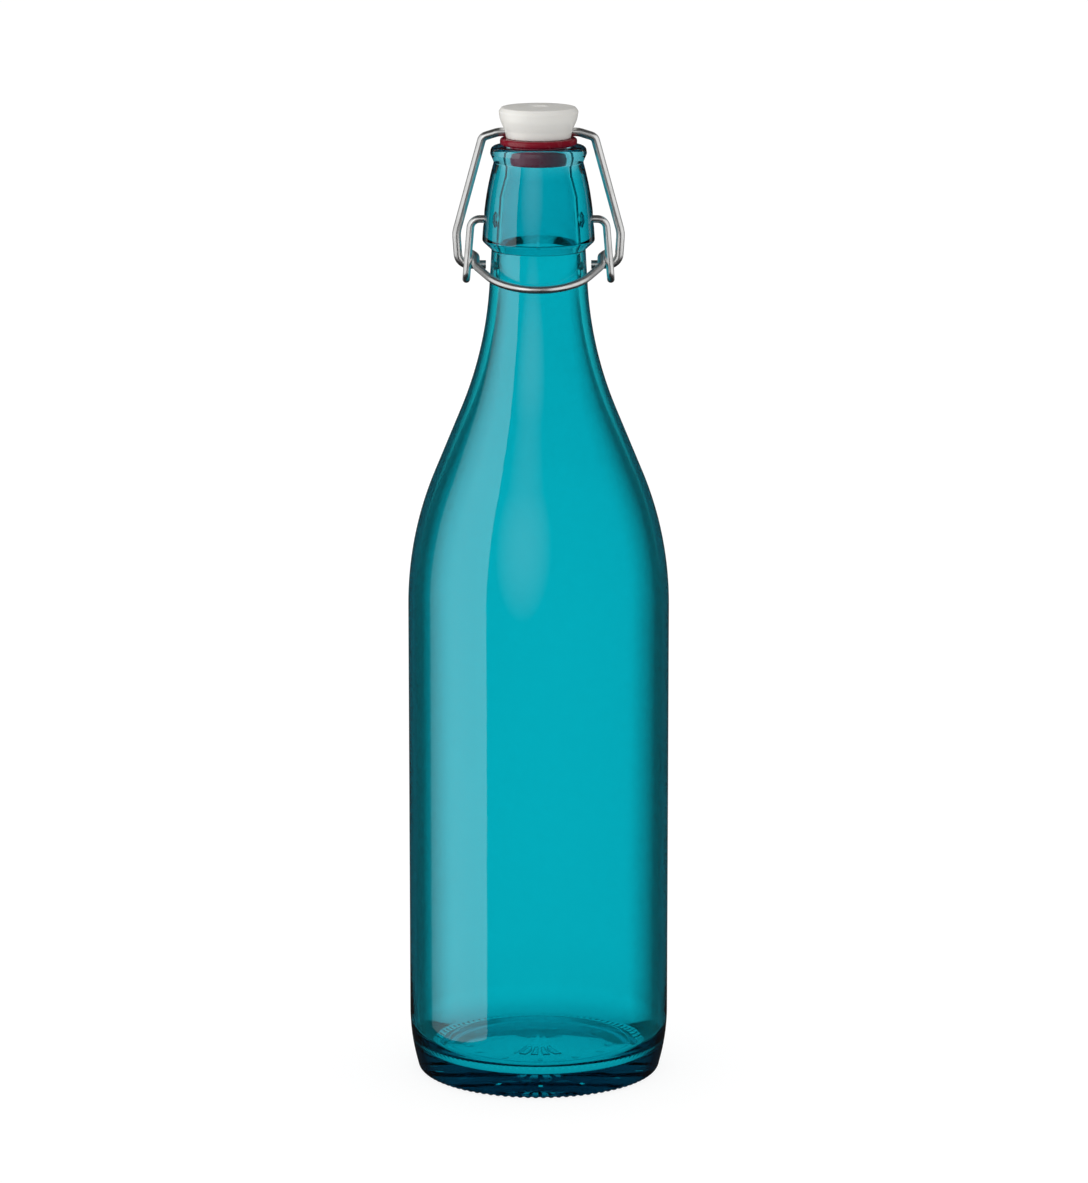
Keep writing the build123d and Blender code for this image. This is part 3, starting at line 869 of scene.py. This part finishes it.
def makeWorld():
    world = bpy.data.worlds.new("whiteStudio")
    bpy.context.scene.world = world
    world.use_nodes = True
    tree = world.node_tree
    tree.nodes.clear()
    path = tree.nodes.new("ShaderNodeLightPath")
    direction = tree.nodes.new("ShaderNodeTexCoord").outputs["Generated"]
    parts = addNode(tree, "ShaderNodeSeparateXYZ", {0: direction})
    back = rangeNode(tree, parts.outputs["Y"], studio["frontTo"], studio["backFrom"],
                     studio["glossyDark"], studio["glossyBack"])
    towardsSpot = addNode(tree, "ShaderNodeVectorMath", {
        0: direction, 1: studio["spotDirection"]}, operation="DOT_PRODUCT")
    spot = rangeNode(tree, towardsSpot.outputs["Value"], studio["spotFrom"], 1.0, 0.0, studio["spotLevel"])
    glossy = mathNode(tree, "ADD", back, spot)
    level = addNode(tree, "ShaderNodeMix", {2: studio["surround"], 3: glossy}, data_type="FLOAT")
    # a ray that has just gone through glass counts as glossy too, so it's told apart by its turning back
    mirrored = mathNode(tree, "MULTIPLY", path.outputs["Is Glossy Ray"], path.outputs["Is Reflection Ray"])
    tree.links.new(mirrored, level.inputs[0])
    shine = addNode(tree, "ShaderNodeBackground", {"Color": (1, 1, 1, 1), "Strength": level.outputs[0]})
    output = tree.nodes.new("ShaderNodeOutputWorld")
    tree.links.new(shine.outputs[0], output.inputs["Surface"])


def addSoftbox(name, azimuth, box, onlyFor, faded=False, blockedBy=None):
    angle = math.radians(azimuth)
    across, forward = math.sin(angle) * box["distance"], math.cos(angle) * box["distance"]
    place = Vector((across, -forward, box["centreHeight"]))
    bpy.ops.object.light_add(type="AREA", location=place)
    lamp = bpy.context.object
    lamp.name = name
    lamp.rotation_euler = (Vector((0, 0, box["centreHeight"])) - place).to_track_quat("-Z", "Y").to_euler()
    lamp.data.shape = "RECTANGLE"
    lamp.data.size = box["width"]
    lamp.data.size_y = box["height"]
    lamp.data.energy = box["power"]
    lamp.visible_camera = False
    lamp.visible_transmission = False
    if faded:
        # the far side of the box is dimmer, so its image has one soft edge
        lamp.data.use_nodes = True
        tree = lamp.data.node_tree
        place = tree.nodes.new("ShaderNodeNewGeometry").outputs["Parametric"]
        along = addNode(tree, "ShaderNodeSeparateXYZ", {0: place}).outputs["X"]
        glow = rangeNode(tree, along, box["fadeFrom"], box["fadeTo"], box["fadeLevel"], 1.0)
        tree.links.new(glow, tree.nodes["Emission"].inputs["Strength"])
    lamp.light_linking.receiver_collection = onlyFor
    if blockedBy:
        lamp.light_linking.blocker_collection = blockedBy


def lightGroup(name, pieces):
    # the pieces that a light reaches, or the ones that shade it
    group = bpy.data.collections.new(name)
    for piece in pieces:
        group.objects.link(bpy.data.objects[piece])
    return group


def addCamera():
    bpy.ops.object.camera_add(location=Vector(camera["place"]) * mm,
                              rotation=(math.radians(90 - camera["downward"]), 0, 0))
    view = bpy.context.object
    view.data.lens = camera["lens"]
    view.data.sensor_width = camera["sensorWidth"]
    view.data.clip_end = camera["clipEnd"]
    bpy.context.scene.camera = view


makeFloor()
makeWorld()
glassPieces = lightGroup("softboxPieces", ("glassBottle", "stopperHead"))
rubberPieces = lightGroup("rubberPieces", ("gasketRing",))
rubberShades = lightGroup("rubberShades", ("stopperHead", "gasketRing", "leverWire", "bailWire"))
wirePieces = lightGroup("wirePieces", ("leverWire", "bailWire"))
addSoftbox("leftSoftbox", -78, softbox, glassPieces, faded=True)
# only the gasket sees this one, and the glass doesn't shade it, so the plug in the mouth keeps its red
addSoftbox("gasketSoftbox", -70, softbox, rubberPieces, blockedBy=rubberShades)
# the wires have lights of their own, which the glass doesn't mirror
addSoftbox("wireLightLeft", -60, wireLight, wirePieces)
addSoftbox("wireLightRight", 60, wireLight, wirePieces)
addSoftbox("wireRimLeft", -140, wireRim, wirePieces)
addSoftbox("wireRimRight", 140, wireRim, wirePieces)
addCamera()
bpy.context.scene.view_settings.view_transform = "Standard"
# light that is trapped in the thick heel and collar needs many turns to get out again
bpy.context.scene.cycles.max_bounces = 24
bpy.context.scene.cycles.glossy_bounces = 16
bpy.context.scene.cycles.transmission_bounces = 24
print("studio ready")
